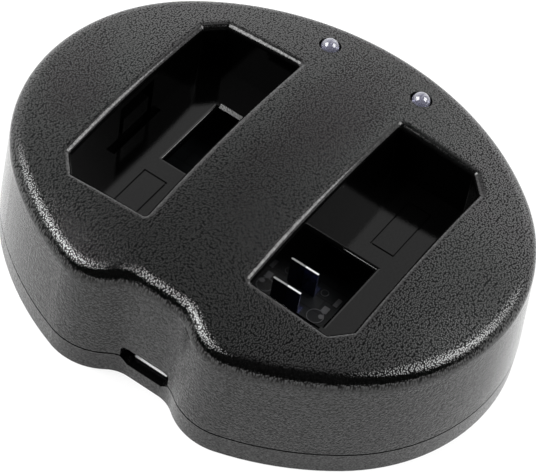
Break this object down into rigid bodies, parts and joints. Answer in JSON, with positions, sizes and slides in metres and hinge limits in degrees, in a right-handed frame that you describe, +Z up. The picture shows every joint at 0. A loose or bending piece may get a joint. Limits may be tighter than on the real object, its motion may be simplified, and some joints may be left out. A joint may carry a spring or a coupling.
{
  "type": "camera battery charger",
  "caption": "Oval desktop charger with open battery wells in a crowned black case, contact blades under floor windows, status lamps and a small power inlet in a front notch.",
  "frame": {"origin": "centre of the flat underside, midway between the two wells", "axes": "+X from the left well to the right well, +Y to the lamps at the back, +Z up"},
  "size_m": [0.0806, 0.0647, 0.0236],
  "materials": {
    "black_shell": "black moulded plastic, leather grain on the roof and fine matt sides, polished well walls",
    "black_base": "black moulded plastic, fine matt texture",
    "board": "glass-fibre circuit board with dark solder mask",
    "plated_sheet": "plated folded steel sheet",
    "black_insulator": "black moulded insulator",
    "contact_metal": "gold-flashed strip",
    "clear_lamp": "clear cast epoxy with a faint blue tint",
    "tinned_lead": "tinned wire",
    "blade_metal": "bright nickel-plated strip",
    "moulded_chip": "black moulding compound",
    "coil_body": "grey ferrite",
    "can_metal": "plain aluminium can",
    "chip_part": "ceramic chip parts",
    "screw_steel": "blackened steel"
  },
  "bodies": {
    "root": {"top_shell": "black_shell", "base_cover": "black_base", "circuit_board": "board", "usb_shell": "plated_sheet", "usb_tongue": "black_insulator", "usb_contacts": "contact_metal", "lamp_left": "clear_lamp", "lamp_right": "clear_lamp", "lamp_left_leads": "tinned_lead", "lamp_right_leads": "tinned_lead", "right_positive_blade": "blade_metal", "right_negative_blade": "blade_metal", "left_positive_blade": "blade_metal", "left_negative_blade": "blade_metal", "charge_chip_left": "moulded_chip", "charge_chip_right": "moulded_chip", "charge_chip_left_pins": "tinned_lead", "charge_chip_right_pins": "tinned_lead", "coil_left": "coil_body", "coil_right": "coil_body", "diode_left": "moulded_chip", "diode_right": "moulded_chip", "input_capacitor": "can_metal", "chip_resistors": "chip_part", "chip_capacitors": "chip_part", "case_screws": "screw_steel"}
  },
  "joints": []
}
